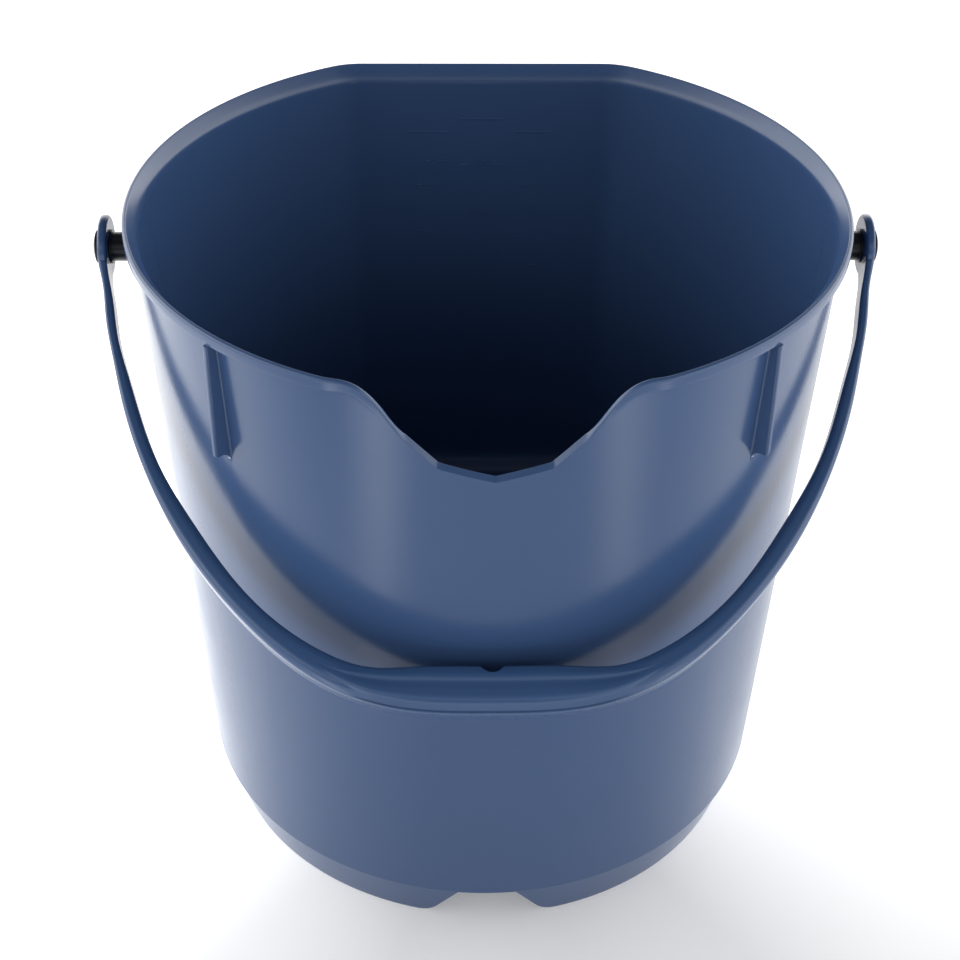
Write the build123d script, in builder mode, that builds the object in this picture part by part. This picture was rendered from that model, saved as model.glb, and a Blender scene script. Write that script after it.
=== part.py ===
"""Feed bucket with a swinging bail handle.

Millimetres. +Z is up and z = 0 is the ground. The vertical axis of the round wall is the Z axis.
The pouring spout faces -Y, the flat back faces +Y, and the handle pivots on an axis along X.
"""
import os
from math import cos, radians, sin, tan

from build123d import *

os.makedirs("parts", exist_ok=True)

# ---- Bucket shell ----------------------------------------------------------------------------
HEIGHT = 317.0
DRAFT = 3.0  # degrees, wall leans outward going up
WALL = 2.6
WALL_TOP_R = 154.7  # outside of the wall, carried up to the rim plane
BACK_TOP_Y = 139.6  # outside of the flat back, carried up to the rim plane
BACK_CORNER_R = 28.5  # upright corners between flat back and round wall, at the rim plane
FLOOR_TOP_Z = 82.0
FLOOR_THICK = 3.5
FLOOR_FILLET = 12.0

# ---- Rim bead --------------------------------------------------------------------------------
RIM_R = 158.2
BEAD_H = 5.5
BEAD_ROUND = 1.4
CREST_INSET = 1.6  # from the outside of the bead to the start of the inner bevel
BEVEL_H = 6.6
BEVEL_ANGLE = 36.0
LOWER_EDGE_BREAK = 0.6

# ---- Skirt and finger arch -------------------------------------------------------------------
SKIRT_H = 24.0
SHOULDER_STEP = 1.3
SKIRT_DRAFT = 15.0
ARCH_TOP_HALF = 12.0
ARCH_FOOT_HALF = 28.2
ARCH_FOOT_R = 12.0
ARCH_REACH = 60.0  # how far the arch tool carries on either side

# ---- Pouring spout, half outline as (x, depth below the rim) ----------------------------------
SPOUT_TIP = (0.0, 40.6)
SPOUT_CORNER = (22.0, 34.9)
SPOUT_NECK = (35.8, 22.0)
SPOUT_NECK_RISE = (1, 1.1)  # direction in which the curve leaves the neck
SPOUT_CURVE = [(38.5, 18.9), (41.1, 15.3), (45.3, 9.4), (49.5, 4.7), (53.7, 1.5)]
SPOUT_END = (59.5, 0.0)

# ---- Ribs under the rim ----------------------------------------------------------------------
RIB_ANGLE = 45.0  # either side of the spout
RIB_OUT_R = 159.4
RIB_BOTTOM_Z = 258.5
RIB_THICK = 2.4
RIB_FOOT_R = 6.0

# ---- Handle pivot ----------------------------------------------------------------------------
PIVOT_Z = 292.8
BOSS_R = 10.0
BOSS_X = 156.5
SPIGOT_R = 5.0
SPIGOT_X = 162.0
PIN_HOLE_R = 2.825
PIN_HOLE_X = 151.8
BUSH_R = 6.45
BUSH_X = 165.6
BUSH_SPIGOT_R = 5.05
BUSH_BORE_R = 4.55
WASHER_R = 7.5
WASHER_X = 166.4
PIN_R = 4.5
PIN_ROOT_R = 2.8
PIN_ROOT_X = 151.9
PIN_HEAD_R = 7.2
PIN_HEAD_X = 170.9
PIN_EDGE_X = 172.7  # the head's straight edge ends here and its dome begins
PIN_TOP_X = 174.2

# ---- Bail handle -----------------------------------------------------------------------------
REST_ANGLE = 52.8  # degrees forward of straight down
EYE_R = 14.0
EYE_IN_X = 166.7
EYE_OUT_X = 170.6
EYE_BORE_R = 4.56
NOTCH_R = 5.0
NOTCH_S = 188.2
BAIL_STATIONS = 13  # sections on each side, from eye to mid grip
BAIL_ROUNDNESS = 0.385  # corner radius of a section as a share of its depth
STRAP_BREADTH = 12.6
GRIP_BREADTH = 22.0
EYE_ROOT_BREADTH = 22.5
EYE_BLEND_S = 24.0  # the strap narrows from the eye over this distance
GRIP_BLEND = (110.0, 190.0)  # and broadens into the grip between these distances
# Edges of the bail in its own plane, as (x, distance from the pivot axis), from eye to mid grip.
BAIL_OUTER = [
    (170.6, 8.0),
    (168.9, 18.0),
    (166.5, 36.0),
    (162.9, 53.0),
    (158.2, 73.0),
    (146.7, 105.8),
    (129.9, 137.6),
    (102.0, 172.3),
    (72.0, 196.3),
    (38.5, 208.3),
    (0.0, 210.5),
]
BAIL_INNER = [
    (166.7, 8.0),
    (163.9, 26.0),
    (160.9, 44.0),
    (155.6, 62.0),
    (141.8, 100.5),
    (125.0, 128.5),
    (100.0, 161.2),
    (70.8, 183.2),
    (54.0, 189.4),
    (30.0, 189.7),
    (0.0, 189.7),
]

# ---- Measuring marks on the inside of the flat back -------------------------------------------
MARK_PROUD = 0.35
MARK_LINE_H = 0.8
MARK_TICKS = [(-26.0, 254.0), (27.0, 254.0), (0.0, 237.0), (0.0, 265.0), (28.5, 208.0)]
MARK_TICK_L = 11.0
MARK_LONG = [(-21.0, 267.0), (27.0, 266.0), (0.0, 290.0)]
MARK_LONG_L = 17.0

LINE_TOL = 0.01  # how near a corner must be to a named position to be the same one
slope = tan(radians(DRAFT))


def shell_outline(inset, z):
    """Level outline of the drafted wall at height z, a given distance inside its outer face."""
    shift = inset + (HEIGHT - z) * slope
    radius = WALL_TOP_R - shift
    flat = BACK_TOP_Y - shift
    corner = BACK_CORNER_R - shift
    with BuildSketch(Plane.XY.offset(z)) as outline:
        Circle(radius)
        with Locations((0, flat)):
            Rectangle(2 * radius, radius, align=(Align.CENTER, Align.MIN), mode=Mode.SUBTRACT)
        fillet(outline.vertices(), corner)
    return outline.sketch


def drafted_block(inset, z, depth, draft):
    """Solid whose top is the shell outline at height z and which draws in on its way down."""
    with BuildPart() as block:
        with BuildSketch(Plane.XY.offset(z)):
            add(shell_outline(inset, z))
        extrude(amount=-depth, taper=draft)
    return block.part


def pivot_bar(radius, near, far, side):
    """Round bar on the pivot axis, from x = near to x = far on one side of the bucket."""
    with BuildPart() as bar:
        with BuildSketch(Plane.YZ.offset(side * near)):
            with Locations((0, PIVOT_Z)):
                Circle(radius)
        extrude(amount=side * (far - near))
    return bar.part


def rib(side):
    """One rib, standing radially from the wall, with a concave foot."""
    turn = radians(-90 + side * RIB_ANGLE)
    across = Plane(origin=(0, 0, 0), x_dir=(cos(turn), sin(turn), 0), z_dir=(sin(turn), -cos(turn), 0))
    wall_r = WALL_TOP_R - (HEIGHT - RIB_BOTTOM_Z) * slope
    foot_z = RIB_BOTTOM_Z - RIB_FOOT_R
    top_z = HEIGHT - BEAD_H
    with BuildPart() as blade:
        with BuildSketch(across):
            with BuildLine():
                Line((wall_r - WALL, top_z), (RIB_OUT_R, top_z))
                Line((RIB_OUT_R, top_z), (RIB_OUT_R, RIB_BOTTOM_Z))
                Line((RIB_OUT_R, RIB_BOTTOM_Z), (wall_r + RIB_FOOT_R, RIB_BOTTOM_Z))
                RadiusArc((wall_r + RIB_FOOT_R, RIB_BOTTOM_Z), (wall_r, foot_z), -RIB_FOOT_R)
                Line((wall_r, foot_z), (wall_r - WALL, foot_z))
                Line((wall_r - WALL, foot_z), (wall_r - WALL, top_z))
            make_face()
        extrude(amount=RIB_THICK / 2, both=True)
    return blade.part


outer_wall = drafted_block(0, HEIGHT, HEIGHT - SKIRT_H, DRAFT)
outer_skirt = drafted_block(SHOULDER_STEP, SKIRT_H, SKIRT_H, SKIRT_DRAFT)
bevel = drafted_block(WALL_TOP_R - RIM_R + CREST_INSET, HEIGHT, BEVEL_H, BEVEL_ANGLE)
upper_recess = drafted_block(WALL, FLOOR_TOP_Z - FLOOR_THICK, FLOOR_TOP_Z - FLOOR_THICK - SKIRT_H, DRAFT)
lower_recess = drafted_block(SHOULDER_STEP + WALL, SKIRT_H, SKIRT_H, SKIRT_DRAFT)

with BuildPart() as cavity:
    add(drafted_block(WALL, HEIGHT, HEIGHT - FLOOR_TOP_Z, DRAFT))
    fillet(cavity.faces().sort_by(Axis.Z)[0].edges(), FLOOR_FILLET)

with BuildPart() as bead:
    with BuildSketch(Plane.XY.offset(HEIGHT)):
        add(shell_outline(WALL_TOP_R - RIM_R, HEIGHT))
    extrude(amount=-BEAD_H)
    fillet(bead.faces().sort_by(Axis.Z)[-1].edges(), BEAD_ROUND)
    chamfer(bead.faces().sort_by(Axis.Z)[0].edges(), LOWER_EDGE_BREAK)

# ---- Bucket body -----------------------------------------------------------------------------
with BuildPart() as bucket_body:
    add(outer_wall)
    add(outer_skirt)
    add(bead.part)
    for side in (-1, 1):
        add(rib(side))
        add(pivot_bar(BOSS_R, 0, BOSS_X, side))
        add(pivot_bar(SPIGOT_R, 0, SPIGOT_X, side))
    add(cavity.part, mode=Mode.SUBTRACT)
    add(bevel, mode=Mode.SUBTRACT)
    add(upper_recess, mode=Mode.SUBTRACT)
    add(lower_recess, mode=Mode.SUBTRACT)
    for side in (-1, 1):
        add(pivot_bar(PIN_HOLE_R, PIN_HOLE_X, SPIGOT_X, side), mode=Mode.SUBTRACT)

    # Pouring spout: straight facets to the tip, a flowing curve up to the rim.
    with BuildSketch(Plane.XZ):
        with BuildLine():
            tip, corner, neck = [(x, HEIGHT - depth) for x, depth in (SPOUT_TIP, SPOUT_CORNER, SPOUT_NECK)]
            rise = [(x, HEIGHT - depth) for x, depth in (*SPOUT_CURVE, SPOUT_END)]
            Polyline(tip, corner, neck)
            Spline(neck, *rise, tangents=[SPOUT_NECK_RISE, (1, 0)])
            Line(rise[-1], (0, HEIGHT))
            mirror(about=Plane.YZ)
        make_face()
    extrude(amount=RIM_R + WALL, mode=Mode.SUBTRACT)

    # Finger arch through the front of the skirt.
    with BuildSketch(Plane.XZ):
        with BuildLine():
            Polyline(
                (-ARCH_REACH, -WALL),
                (-ARCH_REACH, 0),
                (-ARCH_FOOT_HALF, 0),
                (-ARCH_TOP_HALF, SKIRT_H),
                (ARCH_TOP_HALF, SKIRT_H),
                (ARCH_FOOT_HALF, 0),
                (ARCH_REACH, 0),
                (ARCH_REACH, -WALL),
                close=True,
            )
        arch = make_face()
        feet = arch.vertices().filter_by(lambda v: abs(abs(v.X) - ARCH_FOOT_HALF) < LINE_TOL)
        fillet(feet, ARCH_FOOT_R)
    extrude(amount=WALL_TOP_R, mode=Mode.SUBTRACT)

    # Raised measuring marks on the inside of the flat back.
    lean = radians(DRAFT)
    back_face = Plane(
        origin=(0, BACK_TOP_Y - WALL, HEIGHT), x_dir=(1, 0, 0), z_dir=(0, -cos(lean), sin(lean))
    )
    for marks, length in ((MARK_TICKS, MARK_TICK_L), (MARK_LONG, MARK_LONG_L)):
        for x, z in marks:
            with BuildSketch(back_face):
                with Locations((x, (z - HEIGHT) / cos(lean))):
                    Rectangle(length, MARK_LINE_H)
            extrude(amount=MARK_PROUD, both=True)

bucket_body.part.label = "bucket_body"
export_step(bucket_body.part, "parts/bucket_body.step")


# ---- Bail handle -----------------------------------------------------------------------------
rest = radians(REST_ANGLE)
bail_plane = Plane(
    origin=(0, 0, PIVOT_Z), x_dir=(1, 0, 0), z_dir=(0, -cos(rest), sin(rest))
)


def edge_of_bail(points):
    """Smooth edge through (x, s) points, leaving the eye straight down and meeting mid grip level."""
    return Spline(*[(x, -s) for x, s in points], tangents=[(0, -1), (-1, 0)])


def ease(value, start, end):
    """0 before start, 1 after end, and an S-curve between."""
    part = min(max((value - start) / (end - start), 0), 1)
    return part * part * (3 - 2 * part)


def breadth_at(s):
    """Breadth of the bail, square to its plane, at distance s from the pivot axis."""
    eye = (EYE_ROOT_BREADTH - STRAP_BREADTH) * (1 - ease(s, 0, EYE_BLEND_S))
    grip = (GRIP_BREADTH - STRAP_BREADTH) * ease(s, *GRIP_BLEND)
    return STRAP_BREADTH + eye + grip


def bail_section(share, side):
    """Rounded section of the bail at a share of the way from the eye to mid grip."""
    edges = (inner_edge @ share, outer_edge @ share)
    near, far = [bail_plane.from_local_coords(Vector(side * e.X, e.Y)) for e in edges]
    outward = (far - near).normalized()
    depth = (far - near).length
    across = Plane(origin=(near + far) / 2, x_dir=outward, z_dir=bail_plane.z_dir.cross(outward))
    with BuildSketch(across) as section:
        RectangleRounded(depth, breadth_at(-(outer_edge @ share).Y), BAIL_ROUNDNESS * depth)
    return section.sketch


inner_edge = edge_of_bail(BAIL_INNER)
outer_edge = edge_of_bail(BAIL_OUTER)
shares = [i / BAIL_STATIONS for i in range(BAIL_STATIONS + 1)]
sections = [bail_section(share, -1) for share in shares]
sections += [bail_section(share, 1) for share in reversed(shares[:-1])]

with BuildPart() as bail_handle:
    loft(sections=sections)
    for side in (-1, 1):
        with BuildSketch(Plane.YZ.offset(side * EYE_IN_X)):
            with Locations((0, PIVOT_Z)):
                Circle(EYE_R)
        extrude(amount=side * (EYE_OUT_X - EYE_IN_X))
    with BuildSketch(bail_plane):
        with Locations((0, -NOTCH_S)):
            Circle(NOTCH_R)
    extrude(amount=EYE_R, both=True, mode=Mode.SUBTRACT)
    for side in (-1, 1):
        with BuildSketch(Plane.YZ.offset(side * BUSH_X)):
            with Locations((0, PIVOT_Z)):
                Circle(EYE_BORE_R)
        extrude(amount=side * EYE_R, mode=Mode.SUBTRACT)
bail_handle.part.label = "bail_handle"
export_step(bail_handle.part, "parts/bail_handle.step")

# ---- Pivot hardware, one set on each side ----------------------------------------------------
pivot_axis = Axis((0, 0, PIVOT_Z), (1, 0, 0))
for side, end in ((-1, "left"), (1, "right")):
    # Profiles below are half sections: distance from the middle of the bucket, then radius.
    half_section = Plane(origin=(0, 0, PIVOT_Z), x_dir=(side, 0, 0), z_dir=(0, -side, 0))

    with BuildPart() as pivot_pin:
        with BuildSketch(half_section):
            with BuildLine():
                Polyline(
                    (PIN_TOP_X, 0),
                    (PIN_ROOT_X, 0),
                    (PIN_ROOT_X, PIN_ROOT_R),
                    (SPIGOT_X, PIN_ROOT_R),
                    (SPIGOT_X, PIN_R),
                    (PIN_HEAD_X, PIN_R),
                    (PIN_HEAD_X, PIN_HEAD_R),
                    (PIN_EDGE_X, PIN_HEAD_R),
                )
                TangentArc((PIN_TOP_X, 0), (PIN_EDGE_X, PIN_HEAD_R), tangent=(0, 1))
            make_face()
        revolve(axis=pivot_axis)
    pivot_pin.part.label = "pivot_pin_" + end
    export_step(pivot_pin.part, "parts/pivot_pin_" + end + ".step")

    with BuildPart() as spacer_bush:
        with BuildSketch(half_section):
            with BuildLine():
                Polyline(
                    (BOSS_X, BUSH_SPIGOT_R),
                    (BOSS_X, BUSH_R),
                    (BUSH_X, BUSH_R),
                    (BUSH_X, BUSH_BORE_R),
                    (SPIGOT_X, BUSH_BORE_R),
                    (SPIGOT_X, BUSH_SPIGOT_R),
                    close=True,
                )
            make_face()
        revolve(axis=pivot_axis)
    spacer_bush.part.label = "spacer_bush_" + end
    export_step(spacer_bush.part, "parts/spacer_bush_" + end + ".step")

    with BuildPart() as thrust_washer:
        with BuildSketch(half_section):
            with Locations(((BUSH_X + WASHER_X) / 2, (WASHER_R + BUSH_BORE_R) / 2)):
                Rectangle(WASHER_X - BUSH_X, WASHER_R - BUSH_BORE_R)
        revolve(axis=pivot_axis)
    thrust_washer.part.label = "thrust_washer_" + end
    export_step(thrust_washer.part, "parts/thrust_washer_" + end + ".step")
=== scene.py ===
"""Looks of a feed bucket with a swinging bail handle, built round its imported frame.

Lengths below are millimetres, turned into metres where a mesh is made. +Z is up, the pouring spout faces -Y,
the flat back faces +Y, and the handle turns about an axis along X.
"""

from math import asin, atan2, cos, degrees, pi, radians, sin, sqrt, tan

import bmesh
import bpy
import numpy as np
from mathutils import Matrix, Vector


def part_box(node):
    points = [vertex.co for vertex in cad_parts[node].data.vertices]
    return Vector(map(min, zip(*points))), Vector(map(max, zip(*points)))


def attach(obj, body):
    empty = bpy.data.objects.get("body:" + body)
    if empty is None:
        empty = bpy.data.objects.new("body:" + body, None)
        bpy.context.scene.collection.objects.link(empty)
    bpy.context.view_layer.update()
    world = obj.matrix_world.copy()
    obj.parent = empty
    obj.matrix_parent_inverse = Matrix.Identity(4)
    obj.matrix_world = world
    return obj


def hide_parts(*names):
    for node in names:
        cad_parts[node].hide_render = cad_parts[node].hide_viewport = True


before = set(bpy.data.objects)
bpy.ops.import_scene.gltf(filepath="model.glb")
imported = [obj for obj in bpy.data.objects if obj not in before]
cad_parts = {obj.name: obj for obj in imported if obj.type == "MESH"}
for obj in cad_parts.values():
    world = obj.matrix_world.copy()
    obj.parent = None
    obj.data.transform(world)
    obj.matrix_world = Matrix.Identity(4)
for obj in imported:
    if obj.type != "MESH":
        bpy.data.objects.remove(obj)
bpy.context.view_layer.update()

MM = 0.001

# ---- Light: strengths by compass turn in degrees, 0 in front of the spout, growing towards +X -----------
FLOOR_NEAR = [
    (-180, 0.7), (-120, 1.5), (-75, 1.2), (-38, 0.45), (-15, 0.22), (0, 0.22), (15, 0.2), (38, 0.26),
    (75, 0.8), (120, 0.7), (180, 0.7),
]
FLOOR_FAR = [
    (-180, 0.7), (-120, 1.5), (-75, 1.3), (-60, 0.55), (-49, 0.2), (-41, 0.35), (-31, 2.8),
    (-21, 0.3), (0, 0.26), (28, 0.3), (38, 2.2), (48, 0.3), (56, 0.3), (64, 0.6),
    (78, 1.05), (120, 0.7), (180, 0.7),
]
FLOOR_SPAN = [(0.25, 0.0), (0.5, 1.0)]  # from the near to the far floor, by metres from the middle
FLOOR_REST = 0.8  # even glow of the floor further out
FLOOR_REST_SPAN = [(0.62, 0.0), (0.95, 1.0)]  # from the far floor to the even rest, by metres from the middle
LOW_SKY = [(-180, 2.3), (-110, 3.5), (-55, 0.7), (0, 0.1), (55, 1.6), (110, 3.4), (180, 2.3)]
HIGH_SKY = [(-180, 0.5), (-90, 3.8), (0, 0.6), (90, 2.6), (180, 0.5)]
# How the low and the high part of the sky share each height, by the sine of elevation.
LOW_SHARE = [(0.0, 1.0), (0.15, 1.0), (0.5, 0.0)]
HIGH_SHARE = [(0.0, 0.0), (0.12, 0.0), (0.42, 1.0), (0.7, 0.1), (0.85, 0.1)]
GLOW_LIMIT = 4.0  # strengths above are given to the ramps as shares of this
FLOOR_HALF = 6.0  # metres
FLOOR_WHITE = 0.75
FLOOR_ROUGHNESS = 0.9

# ---- Camera -------------------------------------------------------------------------------------
CAMERA_AT = (-20.45, -714.37, 692.36)
PITCH, YAW, ROLL = radians(36.516), radians(1.4768), radians(0.6595)
LENS = 68.464
SENSOR = 36.0

# ---- Colours ------------------------------------------------------------------------------------
BUCKET_BLUE = (0.038, 0.078, 0.18)
HANDLE_BLUE = (0.033, 0.077, 0.184)
PIVOT_BLACK = (0.006, 0.009, 0.016)

# ---- Dimensions of the frame, as in the CAD part ------------------------------------------------
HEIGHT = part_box("bucket_body")[1][2] / MM
SLOPE = tan(radians(3.0))  # draft of the wall
WALL = 2.6
WALL_TOP_R = 154.7
BACK_TOP_Y = 139.6
BACK_CORNER_R = 28.5
FLOOR_TOP_Z = 82.0
FLOOR_UNDER_Z = 78.5
FLOOR_FILLET = 12.0
SKIRT_H = 24.0
SHOULDER_STEP = 1.3
SKIRT_SLOPE = tan(radians(15.0))
BEAD_H = 5.5
BEAD_ROUND = 1.4
ARCH_TOP_HALF, ARCH_FOOT_HALF, ARCH_FOOT_R = 12.0, 28.2, 12.0
SPOUT = [
    (0.0, 40.6), (22.0, 34.9), (35.8, 22.0), (38.5, 18.9), (41.1, 15.3), (45.3, 9.4), (49.5, 4.7),
    (53.7, 1.5), (59.5, 0.0),
]
SPOUT_NECK_SLOPE = -1.1
BEAD_FADE = (44.0, 66.0)  # where the bead has gone and where it is whole, from the middle
RIB_ANGLE = radians(45.0)
RIB_OUT_R = 159.4
RIB_BOTTOM_Z = 258.5
RIB_FOOT_R = 6.0
PIVOT_Z = 292.8
REST_ANGLE = radians(52.8)


def smooth_step(value, start, end):
    part = min(max((value - start) / (end - start), 0.0), 1.0)
    return part * part * (3 - 2 * part)


# ---- Mesh helpers ------------------------------------------------------------------------------
def make_object(name, points, faces, material, node, body):
    """Mesh object from millimetre points that stands for a CAD node."""
    mesh = bpy.data.meshes.new(name)
    mesh.from_pydata([tuple(c * MM for c in p) for p in points], [], faces)
    mesh.validate()
    mesh.materials.append(material)
    piece = bpy.data.objects.new(name, mesh)
    bpy.context.scene.collection.objects.link(piece)
    bm = bmesh.new()
    bm.from_mesh(mesh)
    bmesh.ops.recalc_face_normals(bm, faces=bm.faces)
    bm.to_mesh(mesh)
    bm.free()
    mesh.shade_smooth()
    weighted = piece.modifiers.new("even shading", "WEIGHTED_NORMAL")
    weighted.weight = 60
    weighted.keep_sharp = True
    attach(piece, body)
    if node:
        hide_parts(node)
    return piece


def loft_faces(ring_count, ring_size, wrap_rings=False):
    """Quads between rings of points that are stored one after another."""
    faces = []
    last = ring_count if wrap_rings else ring_count - 1
    for r in range(last):
        for c in range(ring_size):
            a, b = r * ring_size, ((r + 1) % ring_count) * ring_size
            d = (c + 1) % ring_size
            faces.append((a + c, a + d, b + d, b + c))
    return faces


# ---- Outline of the shell ----------------------------------------------------------------------
CORNER_Y = BACK_TOP_Y - BACK_CORNER_R
CORNER_X = sqrt((WALL_TOP_R - BACK_CORNER_R) ** 2 - CORNER_Y**2)
CORNER_TURN = atan2(CORNER_X, CORNER_Y)  # what each upright corner turns through


FRONT_COLUMNS, FRONT_STEP = 45, 0.62  # columns from the front, and the degrees between them
# (x, radius it is measured at) of the arch's top and the spout's corner and neck, which need own columns.
EXACT_COLUMNS = [(ARCH_TOP_HALF, 136.7), (SPOUT[1][0], 152.9), (SPOUT[2][0], 153.7)]


def outline_columns():
    """Half outline from the front to the middle of the back: (foot point, normal, angle from front)."""
    turns = []
    exact = [degrees(asin(x / r)) for x, r in EXACT_COLUMNS]
    for i in range(FRONT_COLUMNS):
        nearest = min(exact, key=lambda e: abs(e - i * FRONT_STEP))
        turns.append(nearest if abs(nearest - i * FRONT_STEP) < FRONT_STEP / 2 else i * FRONT_STEP)
    turns += list(np.arange(28.5, 41.5, 1.6))
    rib_steps = [-5.5] + [-c[0] for c in reversed(RIB_COLUMNS[1:])]
    rib_steps += [0.0] + [-t for t in reversed(rib_steps)]
    turns += [degrees(RIB_ANGLE) + degrees(t / RIB_OUT_R) for t in rib_steps]
    turns += list(np.linspace(48.5, 180 - degrees(CORNER_TURN), 64))
    columns = []
    for a in map(radians, turns):
        columns.append(((WALL_TOP_R * sin(a), -WALL_TOP_R * cos(a)), (sin(a), -cos(a)), a))
    for k in range(1, 10):
        a = pi - CORNER_TURN * (1 - k / 9)
        n = (sin(a), -cos(a))
        columns.append(((CORNER_X + BACK_CORNER_R * n[0], CORNER_Y + BACK_CORNER_R * n[1]), n, pi))
    for k in range(1, 11):
        columns.append(((CORNER_X * (1 - k / 10), BACK_TOP_Y), (0.0, 1.0), pi))
    return columns


def clamped_spline(points, start, end, shares):
    """Points at shares of the length of the smooth curve through points, with the given end directions."""
    p = np.array(points, float)
    t = np.concatenate([[0], np.cumsum(np.linalg.norm(np.diff(p, axis=0), axis=1))])
    h = np.diff(t)
    n = len(p)
    a = np.zeros((n, n))
    b = np.zeros((n, 2))
    a[0, 0] = a[-1, -1] = 1
    b[0], b[-1] = start, end
    for i in range(1, n - 1):
        a[i, i - 1], a[i, i], a[i, i + 1] = h[i], 2 * (h[i - 1] + h[i]), h[i - 1]
        b[i] = 3 * (h[i] * (p[i] - p[i - 1]) / h[i - 1] + h[i - 1] * (p[i + 1] - p[i]) / h[i])
    slope = np.linalg.solve(a, b)
    dense = []
    for i in range(n - 1):
        for k in range(40):
            s = k / 40
            dense.append(
                (2 * s**3 - 3 * s**2 + 1) * p[i] + (s**3 - 2 * s**2 + s) * h[i] * slope[i]
                + (-2 * s**3 + 3 * s**2) * p[i + 1] + (s**3 - s**2) * h[i] * slope[i + 1]
            )
    dense = np.array(dense + [p[-1]])
    run = np.concatenate([[0], np.cumsum(np.linalg.norm(np.diff(dense, axis=0), axis=1))])
    at = np.array(shares) * run[-1]
    return np.stack([np.interp(at, run, dense[:, k]) for k in (0, 1)], 1)


NECK_X = SPOUT[2][0]
SPOUT_LINE = clamped_spline(SPOUT[2:], (1, SPOUT_NECK_SLOPE), (1, 0), np.linspace(0, 1, 120))


def spout_depth(x):
    """How far the rim line is below the rim plane at a distance x from the middle."""
    x = abs(x)
    if x <= NECK_X:
        return float(np.interp(x, [p[0] for p in SPOUT[:3]], [p[1] for p in SPOUT[:3]]))
    return float(np.interp(x, SPOUT_LINE[:, 0], SPOUT_LINE[:, 1]))


def arch_height(x):
    """Height of the finger arch's edge above the ground at a distance x from the middle."""
    x = abs(x)
    lean = atan2(SKIRT_H, ARCH_FOOT_HALF - ARCH_TOP_HALF)
    reach = ARCH_FOOT_R * tan(lean / 2)
    if x <= ARCH_TOP_HALF:
        return SKIRT_H - 0.35
    if x >= ARCH_FOOT_HALF + reach:
        return 0.0
    if x >= ARCH_FOOT_HALF - reach * cos(lean):
        return ARCH_FOOT_R - sqrt(ARCH_FOOT_R**2 - (ARCH_FOOT_HALF + reach - x) ** 2)
    return min((ARCH_FOOT_HALF - x) * tan(lean), SKIRT_H - 0.35)


def wall_out(z):
    """Offset of the outer wall from the outline, at height z."""
    return -(HEIGHT - z) * SLOPE


# The lip as (offset, height from the rim line): with its bead, as the full round edge of the cut beside the
# spout, and as the slanted facet along the spout's straight edges.
LIP_BEAD = [
    (None, -8.2), (None, -6.1), (0.0, -5.62), (0.4, -5.5), (2.6, -5.5), (3.2, -5.42), (3.5, -5.0),
    (3.5, -3.2),
    *[(2.1 + BEAD_ROUND * cos(a), -BEAD_ROUND + BEAD_ROUND * sin(a)) for a in np.linspace(0, pi / 2, 6)],
    (1.95, 0.0), (1.8, -0.06), (1.6, -0.26), (1.3, -0.66), (0.6, -1.6), (-0.3, -2.85), (-1.2, -4.1),
    (-2.0, -5.3), (-2.55, -6.4), (-2.87, -7.5), (-3.02, -8.6), (-3.08, -9.4),
]
LIP_ROUND = [
    (0, -8.2), (0, -6.1), (0, -5.6), (0, -5.5), (0, -4.6), (0, -3.8), (0, -3.0), (0, -2.2),
    *[(-1.3 + 1.3 * cos(a), -1.3 + 1.3 * sin(a)) for a in np.linspace(0, pi, 13)],
    (-2.6, -2.4), (-2.6, -4.0), (-2.6, -5.6), (-2.6, -7.2), (-2.6, -9.4),
]
LIP_FACET = [
    (0, -8.2), (0, -6.6), (0, -5.6), (0, -4.8), (0, -4.0), (0, -3.2), (0, -2.7), (0, -2.3),
    (0, -2.05), (-0.03, -1.88), (-0.1, -1.74), (-0.22, -1.62), (-0.4, -1.49), (-0.7, -1.28),
    (-1.1, -0.99), (-1.5, -0.7), (-1.9, -0.41), (-2.15, -0.24), (-2.32, -0.1), (-2.46, -0.1), (-2.56, -0.22),
    (-2.6, -0.5), (-2.6, -2.6), (-2.6, -5.0), (-2.6, -7.2), (-2.6, -9.4),
]
assert len(LIP_BEAD) == len(LIP_ROUND) == len(LIP_FACET)


def lip_section(depth, x):
    """(offset, z) points over the rim at a column where the rim line is depth below the rim plane."""
    top = HEIGHT - depth
    cut = 1 - smooth_step(abs(x), *BEAD_FADE)
    facet = 1 - smooth_step(abs(x), NECK_X - 0.8, NECK_X + 2.0)
    points = []
    for (be, bz), (re, rz), (fe, fz) in zip(LIP_BEAD, LIP_ROUND, LIP_FACET):
        ce, cz = re + (fe - re) * facet, rz + (fz - rz) * facet
        z = top + bz + (cz - bz) * cut
        base = wall_out(z)
        full = base if be is None else be
        points.append((full + (base + ce - full) * cut, z))
    return points


RIB_COLUMNS = [  # (distance from the rib's middle plane, share of height, extra height)
    (0.0, 1, 0.0), (0.4, 1, 0.0), (0.7, 1, -0.04), (0.95, 1, -0.2), (1.1, 1, -0.55), (1.18, 1, -1.1),
    (1.24, 0, 0.7), (1.34, 0, 0.36), (1.52, 0, 0.14), (1.9, 0, 0.04), (2.8, 0, 0.0), (4.2, 0, 0.0),
]
RIB_ROWS = [RIB_BOTTOM_Z - RIB_FOOT_R + RIB_FOOT_R * sin(a) for a in np.linspace(0, pi / 2, 8)]
RIB_EDGE_ROWS = [RIB_BOTTOM_Z + v for v in (0.05, 0.3, 0.9, 2.0)]
RIB_TOP_Z = HEIGHT - BEAD_H - 0.5
RIB_UNDER_BEAD = (99.0, 99.0, 4.75, 4.3, 3.75)  # most a rib may stand out on each row below the bead


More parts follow.
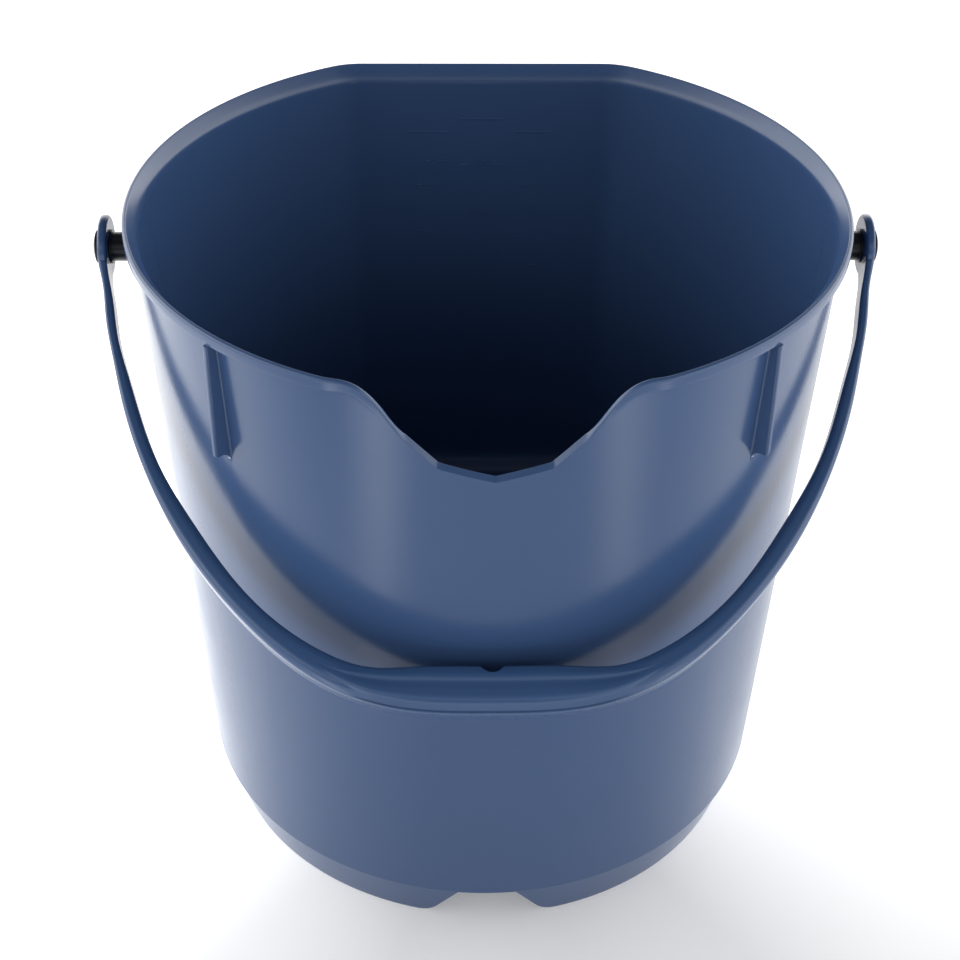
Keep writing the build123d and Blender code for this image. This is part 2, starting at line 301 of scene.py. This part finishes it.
def rib_height(distance, z):
    """How far the wall stands out at a distance from a rib's middle plane, at height z."""
    clear = RIB_OUT_R - (WALL_TOP_R + wall_out(z))
    if z <= RIB_BOTTOM_Z + 0.001:
        rise = (z - RIB_BOTTOM_Z + RIB_FOOT_R) / RIB_FOOT_R
        height = RIB_FOOT_R * (1 - sqrt(max(1 - rise * rise, 0))) if rise > 0 else 0.0
    else:
        height = clear - 0.8 * (1 - smooth_step(z, RIB_BOTTOM_Z, RIB_BOTTOM_Z + 0.9)) ** 2
    wide = [c[0] for c in RIB_COLUMNS]
    share = np.interp(distance, wide, [c[1] for c in RIB_COLUMNS])
    extra = np.interp(distance, wide, [c[2] for c in RIB_COLUMNS])
    return max(share * height + extra * min(1.0, height / 4.0), 0.0)


def shell_section(column):
    """Closed section of the shell at one column, from under the floor round the foot and the rim."""
    (bx, by), (nx, ny), turn = column
    near_front = by < 0
    depth = 0.0
    if near_front:
        for _ in range(6):
            depth = spout_depth((WALL_TOP_R + wall_out(HEIGHT - depth)) * nx)
    arch = arch_height((WALL_TOP_R - 19.0) * nx) if near_front else 0.0
    at_shoulder = wall_out(SKIRT_H)

    def skirt(z):
        return at_shoulder - SHOULDER_STEP - (SKIRT_H - z) * SKIRT_SLOPE

    under = FLOOR_UNDER_Z
    rows = [(wall_out(under) - WALL - r, under) for r in (12.0, 8.0, 4.0)]
    for a in np.linspace(0.3, pi / 2, 4):
        rows.append((wall_out(under) - WALL - 3 + 3 * sin(a), under - 3 + 3 * cos(a)))
    rows += [(wall_out(z) - WALL, z) for z in (66.0, 45.0, 30.0, 26.0)]
    low = arch + 0.7
    high = SKIRT_H - 0.05
    span = high - low
    for part in (0.94, 0.6, 0.25, 0.06):
        z = low + part * span
        rows.append((skirt(z) - WALL, z))
    for z, inset in ((arch + 0.42, 2.96), (arch + 0.14, 2.78), (arch, 2.4), (arch, 1.5), (arch, 0.6)):
        rows.append((skirt(z) - inset, z))
    for z, inset in ((arch + 0.14, 0.22), (arch + 0.42, 0.04)):
        rows.append((skirt(z) - inset, z))
    for part in (0.06, 0.3, 0.6, 0.9, 0.97):
        z = low + part * (SKIRT_H - 0.12 - low)
        rows.append((skirt(z), z))
    step = at_shoulder - SHOULDER_STEP
    rows += [(step + 0.12, SKIRT_H), (at_shoulder - 0.5, SKIRT_H + 0.02)]
    rows += [(at_shoulder - 0.18, SKIRT_H + 0.12), (at_shoulder - 0.02, SKIRT_H + 0.4)]
    rows.append((wall_out(SKIRT_H + 1.2), SKIRT_H + 1.2))
    rows += [(wall_out(z), z) for z in (29.0, 50.0, 85.0, 120.0, 155.0, 190.0, 222.0, 242.0)]
    lip = lip_section(depth, WALL_TOP_R * nx if near_front else WALL_TOP_R)
    low_z, high_z = RIB_ROWS[0], lip[0][1]
    full_high = HEIGHT + LIP_BEAD[0][1]
    distance = abs(turn - RIB_ANGLE) * RIB_OUT_R
    for z in RIB_ROWS + RIB_EDGE_ROWS + [264.0, 272.0, 282.0, 292.0, 301.0]:
        placed = low_z + (z - low_z) * (high_z - low_z) / (full_high - low_z)
        stand = rib_height(distance, z) if distance < 6 else 0.0
        rows.append((wall_out(placed) + stand, placed))
    for index, (e, z) in enumerate(lip):
        if index < 5 and distance < 6:
            under_bead = RIB_UNDER_BEAD[index]
            e = max(e, wall_out(z) + min(rib_height(distance, RIB_TOP_Z), under_bead))
        rows.append((e, z))
    inner_high = lip[-1][1]
    for part in (0.9, 0.7, 0.5, 0.25, 0.0):
        z = 240.0 + (inner_high - 240.0) * part
        rows.append((wall_out(z) - WALL, z))
    rows += [(wall_out(z) - WALL, z) for z in (205.0, 170.0, 135.0, 110.0, 98.0)]
    for a in np.linspace(0.05, pi / 2, 8):
        z = FLOOR_TOP_Z + FLOOR_FILLET * (1 - sin(a))
        rows.append((wall_out(z) - WALL - FLOOR_FILLET * (1 - cos(a)), z))
    rows.append((wall_out(FLOOR_TOP_Z) - WALL - 12.6, FLOOR_TOP_Z))
    return [(bx + nx * e, by + ny * e, z) for e, z in rows]


def build_shell(material):
    half = outline_columns()
    other = [((-b[0], b[1]), (-n[0], n[1]), t) for b, n, t in reversed(half[1:-1])]
    columns = half + other
    sections = [shell_section(c) for c in columns]
    rows = len(sections[0])
    count = len(columns)
    points = [sections[c][r] for r in range(rows) for c in range(count)]
    faces = loft_faces(rows, count)
    for edge_row, height in ((0, FLOOR_UNDER_Z), (rows - 1, FLOOR_TOP_Z)):
        ring = [edge_row * count + c for c in range(count)]
        for share in (0.75, 0.45, 0.18):
            start = len(points)
            for c in range(count):
                x, y, _ = points[edge_row * count + c]
                points.append((x * share, y * share, height))
            new = [start + c for c in range(count)]
            faces += [(ring[c], ring[(c + 1) % count], new[(c + 1) % count], new[c]) for c in range(count)]
            ring = new
        points.append((0.0, 0.0, height))
        faces += [(ring[c], ring[(c + 1) % count], len(points) - 1) for c in range(count)]
    return make_object("shell", points, faces, material, "bucket_body", "bucket")


# ---- Round parts on the pivot axis ---------------------------------------------------------------
def revolve(name, profile, side, material, node, body, steps=64):
    """Solid of revolution about the pivot axis from (distance from the middle, radius) points, closed."""
    points = []
    for x, r in profile:
        for k in range(steps):
            a = 2 * pi * k / steps
            points.append((side * x, r * cos(a), PIVOT_Z + r * sin(a)))
    faces = loft_faces(len(profile), steps, wrap_rings=True)
    return make_object(name, points, faces, material, node, body)


# ---- Bail handle -------------------------------------------------------------------------------
BAIL_OUTER = [
    (170.6, 8.0), (168.9, 18.0), (166.5, 36.0), (162.9, 53.0), (158.2, 73.0), (146.7, 105.8), (129.9, 137.6),
    (102.0, 172.3), (72.0, 196.3),
    (38.5, 208.3), (0.0, 210.5),
]
BAIL_INNER = [
    (166.7, 8.0), (163.9, 26.0), (160.9, 44.0), (155.6, 62.0), (141.8, 100.5), (125.0, 128.5), (100.0, 161.2),
    (70.8, 183.2),
    (54.0, 189.4), (30.0, 189.7), (0.0, 189.7),
]
EYE_R = 14.0
EYE_IN_X, EYE_OUT_X = 166.7, 170.6
STRAP_BREADTH, GRIP_BREADTH, EYE_ROOT_BREADTH = 12.6, 22.0, 22.5
NOTCH_R, NOTCH_S = 5.0, 188.2


def breadth_at(s):
    eye = (EYE_ROOT_BREADTH - STRAP_BREADTH) * (1 - smooth_step(s, 0, 24))
    grip = (GRIP_BREADTH - STRAP_BREADTH) * smooth_step(s, 110, 190)
    return STRAP_BREADTH + eye + grip


# Front of the grip between its inner edge (0) and outer edge (1), as lift in mm below the full breadth.
GRIP_FRONT = [
    (0.0, 7.0), (0.02, 5.0), (0.06, 3.4), (0.12, 2.2), (0.18, 1.35), (0.24, 0.9), (0.29, 0.95), (0.33, 1.35),
    (0.37, 1.55), (0.42, 1.3), (0.48, 0.85), (0.56, 0.35), (0.64, 0.15), (0.72, 0.45), (0.8, 1.3),
    (0.88, 2.7),
    (0.935, 3.7), (0.955, 3.7), (0.97, 3.3), (0.985, 3.5), (1.0, 4.6),
]


def bail_ring(near, far, grip):
    """Closed ring of (share across the depth, n) points for one station of the bail."""
    depth = float(np.linalg.norm(far - near))
    breadth = breadth_at(-far[1])
    corner = 0.385 * depth
    half = breadth / 2
    ring = []
    # Rounded rectangle, starting on the inner edge and going over the front face.
    quarter = np.linspace(0, pi / 2, 7)
    front = [(corner - corner * cos(a), half - corner + corner * sin(a)) for a in quarter]
    front += [(corner + (depth - 2 * corner) * k / 25, half) for k in range(1, 25)]
    front += [(depth - corner + corner * sin(a), half - corner + corner * cos(a)) for a in quarter]
    if grip > 0:
        shaped = []
        for i, (d, n) in enumerate(front):
            share = i / (len(front) - 1)
            drop = float(np.interp(share, [g[0] for g in GRIP_FRONT], [g[1] for g in GRIP_FRONT]))
            shaped.append((d * (1 - grip) + share * depth * grip, n * (1 - grip) + (half - drop) * grip))
        front = shaped
    ring += front
    edge = [(depth, half - corner - (2 * half - 2 * corner) * k / 8) for k in range(1, 8)]
    back = [(depth - corner + corner * cos(a), -half + corner - corner * sin(a)) for a in quarter]
    back += [(depth - corner - (depth - 2 * corner) * k / 7, -half) for k in range(1, 7)]
    back += [(corner - corner * sin(a), -half + corner - corner * cos(a)) for a in quarter]
    side = [(0.0, -half + corner + (2 * half - 2 * corner) * k / 8) for k in range(1, 8)]
    ring += edge + back + side
    outward = (far - near) / depth
    notch = NOTCH_S + sqrt(NOTCH_R**2 - near[0] ** 2) + near[1] if abs(near[0]) < NOTCH_R else 0.0
    middle = []
    for d, n in ring:
        d = max(d, notch)
        x, y = near + outward * d
        middle.append((x, y, n))
    return middle


def bail_to_world(x, y, n):
    """From the bail's own plane (x, up the bail, out of its front) to the frame."""
    return (x, y * sin(REST_ANGLE) - n * cos(REST_ANGLE), PIVOT_Z + y * cos(REST_ANGLE) + n * sin(REST_ANGLE))


def build_bail(material):
    shares = [*np.linspace(0, 0.965, 82), *np.linspace(0.968, 0.982, 6), *np.linspace(0.983, 1.0, 14)]
    outer = clamped_spline([(x, -s) for x, s in BAIL_OUTER], (0, -1), (-1, 0), shares)
    inner = clamped_spline([(x, -s) for x, s in BAIL_INNER], (0, -1), (-1, 0), shares)
    rings = []
    for near, far in zip(inner, outer):
        grip = 1 - smooth_step(abs(near[0]), 46, 72)
        rings.append(bail_ring(near, far, grip))
    mirrored = [[(-x, y, n) for x, y, n in ring] for ring in reversed(rings[:-1])]
    rings += mirrored
    points = [bail_to_world(*p) for ring in rings for p in ring]
    size = len(rings[0])
    faces = loft_faces(len(rings), size)
    faces.append(tuple(range(size)))
    faces.append(tuple((len(rings) - 1) * size + k for k in range(size)))
    return make_object("bail", points, faces, material, "bail_handle", "bail")


def build_eye(side, material):
    edge = 1.4
    outer, inner = EYE_R, 4.56
    low, high = EYE_IN_X, EYE_OUT_X
    profile = [(low, inner + 0.5), (low, inner + 2), (low, outer - 2), (low, outer - edge)]
    rim = outer - edge
    profile += [(low + edge - edge * cos(a), rim + edge * sin(a)) for a in np.linspace(0.3, pi / 2, 4)]
    profile += [(high - edge + edge * sin(a), rim + edge * cos(a)) for a in np.linspace(0, pi / 2, 5)]
    profile += [(high, outer - 2), (high, inner + 2), (high, inner + 0.5)]
    profile += [(high - 0.5, inner), (low + 0.5, inner)]
    name = "bail_eye_left" if side < 0 else "bail_eye_right"
    return revolve(name, profile, side, material, "bail_handle", "bail")


# ---- Pivot bosses and measuring marks of the bucket body -------------------------------------------
def build_boss(side, material):
    """Round pad on the wall with the spigot that carries the bush, bored for the pin."""
    profile = [
        (151.6, 2.83), (151.6, 11.2), (152.6, 11.2), (153.2, 10.6), (154.0, 10.15), (155.0, 10.0),
        (156.0, 10.0),
        (156.3, 9.9), (156.5, 9.6), (156.5, 5.4), (156.7, 5.0), (161.6, 5.0), (161.9, 4.9), (162.0, 4.6),
        (162.0, 2.83),
    ]
    name = "boss_left" if side < 0 else "boss_right"
    return revolve(name, profile, side, material, "bucket_body", "bucket")


MARK_PROUD = 0.35
# (x of the middle, height, length) of the lines; the lettering over them is left out.
MARK_LINES = [
    (0.5, 290.0, 22.0), (-27.0, 283.0, 20.0), (27.0, 283.0, 20.0), (-27.8, 267.0, 2.0), (-19.5, 267.0, 6.2),
    (-7.8, 265.0, 4.7), (7.6, 265.0, 5.2), (-32.5, 254.0, 3.0), (-25.2, 254.0, 4.2), (23.0, 254.0, 3.7),
    (29.8, 254.0, 3.7), (-7.0, 237.0, 2.0), (7.4, 237.0, 3.6), (-31.0, 228.0, 8.0), (19.0, 224.5, 8.0),
    (26.4, 208.0, 4.1),
]
MARK_LINE_H = 0.8
MARK_NUMBERS = [("12", 0.0, 265.0), ("3", 26.2, 266.0), ("10", 0.0, 237.0), ("2", 26.4, 240.0)]
MARK_NUMBER_H = 4.6


def on_back_face(x, height, proud):
    """Point on the inside of the flat back, or proud of it."""
    lean = atan2(SLOPE, 1)
    y = BACK_TOP_Y - WALL - (HEIGHT - height) * SLOPE
    return (x, y - proud * cos(lean), height + proud * sin(lean))


def build_marks(material):
    points, faces = [], []
    for x, height, length in MARK_LINES:
        start = len(points)
        for proud, inset in ((-0.4, 0.0), (MARK_PROUD - 0.12, 0.0), (MARK_PROUD, 0.14)):
            half, tall = length / 2 - inset, MARK_LINE_H / 2 - inset
            for dx, dz in ((-half, -tall), (half, -tall), (half, tall), (-half, tall)):
                points.append(on_back_face(x + dx, height + dz, proud))
        faces += [tuple(start + i for i in f) for f in loft_faces(3, 4)]
        faces += [(start, start + 3, start + 2, start + 1), tuple(start + 8 + i for i in range(4))]
    make_object("mark_lines", points, faces, material, "bucket_body", "bucket")
    for text, x, height in MARK_NUMBERS:
        curve = bpy.data.curves.new("number_" + text, "FONT")
        curve.body = text
        curve.align_x = "CENTER"
        curve.align_y = "CENTER"
        curve.size = MARK_NUMBER_H * 1.4
        curve.extrude = 0.4
        flat = bpy.data.objects.new("number_curve", curve)
        bpy.context.scene.collection.objects.link(flat)
        shape = bpy.data.meshes.new_from_object(flat)
        sunk = MARK_PROUD - 0.4
        points = [on_back_face(x + v.co.x, height + v.co.y, v.co.z + sunk) for v in shape.vertices]
        faces = [tuple(f.vertices) for f in shape.polygons]
        bpy.data.objects.remove(flat)
        bpy.data.meshes.remove(shape)
        make_object("number_" + text, points, faces, material, "bucket_body", "bucket")


# ---- Materials ---------------------------------------------------------------------------------
def moulded_plastic(name, colour, roughness, grain=0.06, specular=0.5):
    """Moulded polypropylene: slight mottling, orange-peel bump, fine scuffs that roughen it."""
    material = bpy.data.materials.new(name)
    material.use_nodes = True
    nodes, links = material.node_tree.nodes, material.node_tree.links
    shader = nodes["Principled BSDF"]
    shader.inputs["IOR"].default_value = 1.5
    shader.inputs["Specular IOR Level"].default_value = specular
    place = nodes.new("ShaderNodeTexCoord")

    def noise(scale, detail, rough=0.5):
        node = nodes.new("ShaderNodeTexNoise")
        node.inputs["Scale"].default_value = scale
        node.inputs["Detail"].default_value = detail
        node.inputs["Roughness"].default_value = rough
        links.new(place.outputs["Object"], node.inputs["Vector"])
        return node

    cloud = noise(9, 3)
    tint = nodes.new("ShaderNodeMix")
    tint.data_type = "RGBA"
    tint.inputs["A"].default_value = (*[c * 0.92 for c in colour], 1)
    tint.inputs["B"].default_value = (*[min(c * 1.08, 1) for c in colour], 1)
    links.new(cloud.outputs["Fac"], tint.inputs["Factor"])
    links.new(tint.outputs["Result"], shader.inputs["Base Color"])
    patches = noise(30, 6, 0.6)
    spread = nodes.new("ShaderNodeMapRange")
    spread.inputs["From Min"].default_value = 0.3
    spread.inputs["From Max"].default_value = 0.7
    spread.inputs["To Min"].default_value = roughness - 0.025
    spread.inputs["To Max"].default_value = roughness + 0.035
    links.new(patches.outputs["Fac"], spread.inputs["Value"])
    links.new(spread.outputs["Result"], shader.inputs["Roughness"])
    peel = noise(260, 2)
    bump = nodes.new("ShaderNodeBump")
    bump.inputs["Strength"].default_value = grain
    bump.inputs["Distance"].default_value = 0.0004
    links.new(peel.outputs["Fac"], bump.inputs["Height"])
    links.new(bump.outputs["Normal"], shader.inputs["Normal"])
    return material


bucket_plastic = moulded_plastic("bucket_plastic_blue", BUCKET_BLUE, 0.2, specular=0.42)
handle_plastic = moulded_plastic("handle_plastic_blue", HANDLE_BLUE, 0.21, specular=0.5)
pivot_plastic = moulded_plastic("pivot_plastic_black", PIVOT_BLACK, 0.3, specular=0.3)

build_shell(bucket_plastic)
build_marks(bucket_plastic)
build_bail(handle_plastic)
for side in (-1, 1):
    build_eye(side, handle_plastic)
    build_boss(side, bucket_plastic)
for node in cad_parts:
    if node.startswith(("pivot_pin", "spacer_bush", "thrust_washer")):
        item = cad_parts[node]
        item.data.materials.clear()
        item.data.materials.append(pivot_plastic)

# ---- Floor, light and camera -------------------------------------------------------------------
def ramp_of(tree, value, stops, limit=1.0):
    """Colour ramp through (position, level) stops, levels as shares of limit."""
    node = tree.nodes.new("ShaderNodeValToRGB")
    while len(node.color_ramp.elements) < len(stops):
        node.color_ramp.elements.new(0.5)
    for element, (position, level) in zip(node.color_ramp.elements, stops):
        element.position = position
        element.color = (level / limit, level / limit, level / limit, 1)
    tree.links.new(value, node.inputs["Fac"])
    return node.outputs["Color"]


def math_of(tree, operation, first, second):
    """Math node of two inputs, each a socket or a number."""
    node = tree.nodes.new("ShaderNodeMath")
    node.operation = operation
    for socket, value in zip(node.inputs, (first, second)):
        if isinstance(value, (int, float)):
            socket.default_value = value
        else:
            tree.links.new(value, socket)
    return node.outputs[0]


def turn_of(tree, vector):
    """Compass turn of a direction about Z as 0 to 1, 0.5 in front of the spout, and its height."""
    parts = tree.nodes.new("ShaderNodeSeparateXYZ")
    tree.links.new(vector, parts.inputs["Vector"])
    backward = math_of(tree, "MULTIPLY", parts.outputs["Y"], -1.0)
    turn = math_of(tree, "ARCTAN2", parts.outputs["X"], backward)
    part = math_of(tree, "MULTIPLY_ADD", turn, 0.5 / pi)
    part.node.inputs[2].default_value = 0.5
    return part, parts.outputs["Z"]


def by_turn(stops):
    """Ramp stops from (compass turn in degrees, level) pairs."""
    return [((turned + 180) / 360, level) for turned, level in stops]


corners = [(x * FLOOR_HALF, y * FLOOR_HALF, 0) for x, y in ((-1, -1), (1, -1), (1, 1), (-1, 1))]
floor_mesh = bpy.data.meshes.new("floor")
floor_mesh.from_pydata(corners, [], [(0, 1, 2, 3)])
floor = bpy.data.objects.new("floor", floor_mesh)
bpy.context.scene.collection.objects.link(floor)
floor_material = bpy.data.materials.new("floor_white")
floor_material.use_nodes = True
tree = floor_material.node_tree
floor_shader = tree.nodes["Principled BSDF"]
floor_shader.inputs["Base Color"].default_value = (FLOOR_WHITE, FLOOR_WHITE, FLOOR_WHITE, 1)
floor_shader.inputs["Roughness"].default_value = FLOOR_ROUGHNESS
floor_shader.inputs["Emission Color"].default_value = (1, 1, 1, 1)
place = tree.nodes.new("ShaderNodeTexCoord")
turn, _ = turn_of(tree, place.outputs["Object"])
reach = tree.nodes.new("ShaderNodeVectorMath")
reach.operation = "LENGTH"
tree.links.new(place.outputs["Object"], reach.inputs[0])
far = ramp_of(tree, reach.outputs["Value"], FLOOR_SPAN)
near_glow = ramp_of(tree, turn, by_turn(FLOOR_NEAR), GLOW_LIMIT)
far_glow = ramp_of(tree, turn, by_turn(FLOOR_FAR), GLOW_LIMIT)
step = math_of(tree, "MULTIPLY", math_of(tree, "SUBTRACT", far_glow, near_glow), far)
inner_glow = math_of(tree, "ADD", near_glow, step)
rest = ramp_of(tree, reach.outputs["Value"], FLOOR_REST_SPAN)
to_rest = math_of(tree, "SUBTRACT", FLOOR_REST / GLOW_LIMIT, inner_glow)
glow = math_of(tree, "ADD", inner_glow, math_of(tree, "MULTIPLY", to_rest, rest))
tree.links.new(math_of(tree, "MULTIPLY", glow, GLOW_LIMIT), floor_shader.inputs["Emission Strength"])
floor_mesh.materials.append(floor_material)

world = bpy.data.worlds.new("studio")
bpy.context.scene.world = world
world.use_nodes = True
tree = world.node_tree
toward = tree.nodes.new("ShaderNodeTexCoord")
turn, height = turn_of(tree, toward.outputs["Generated"])
bands = []
for sky_stops, share_stops in ((LOW_SKY, LOW_SHARE), (HIGH_SKY, HIGH_SHARE)):
    around = ramp_of(tree, turn, by_turn(sky_stops), GLOW_LIMIT)
    bands.append(math_of(tree, "MULTIPLY", around, ramp_of(tree, height, share_stops)))
sky = math_of(tree, "MULTIPLY", math_of(tree, "ADD", *bands), GLOW_LIMIT)
tree.links.new(sky, tree.nodes["Background"].inputs["Strength"])
tree.nodes["Background"].inputs["Color"].default_value = (1.0, 1.0, 1.0, 1)

bpy.context.scene.view_settings.view_transform = "Standard"

camera_data = bpy.data.cameras.new("camera")
camera = bpy.data.objects.new("camera", camera_data)
bpy.context.scene.collection.objects.link(camera)
bpy.context.scene.camera = camera
camera_data.lens = LENS
camera_data.sensor_width = SENSOR
forward = Vector((sin(YAW) * cos(PITCH), cos(YAW) * cos(PITCH), -sin(PITCH)))
right = Vector((cos(YAW), -sin(YAW), 0))
up = right.cross(forward)
rolled_right = right * cos(ROLL) + up * sin(ROLL)
rolled_up = up * cos(ROLL) - right * sin(ROLL)
axes = camera.matrix_world.to_3x3()
for column, axis in enumerate((rolled_right, rolled_up, -forward)):
    axes.col[column] = axis
camera.matrix_world = axes.to_4x4()
camera.location = Vector(CAMERA_AT) * MM
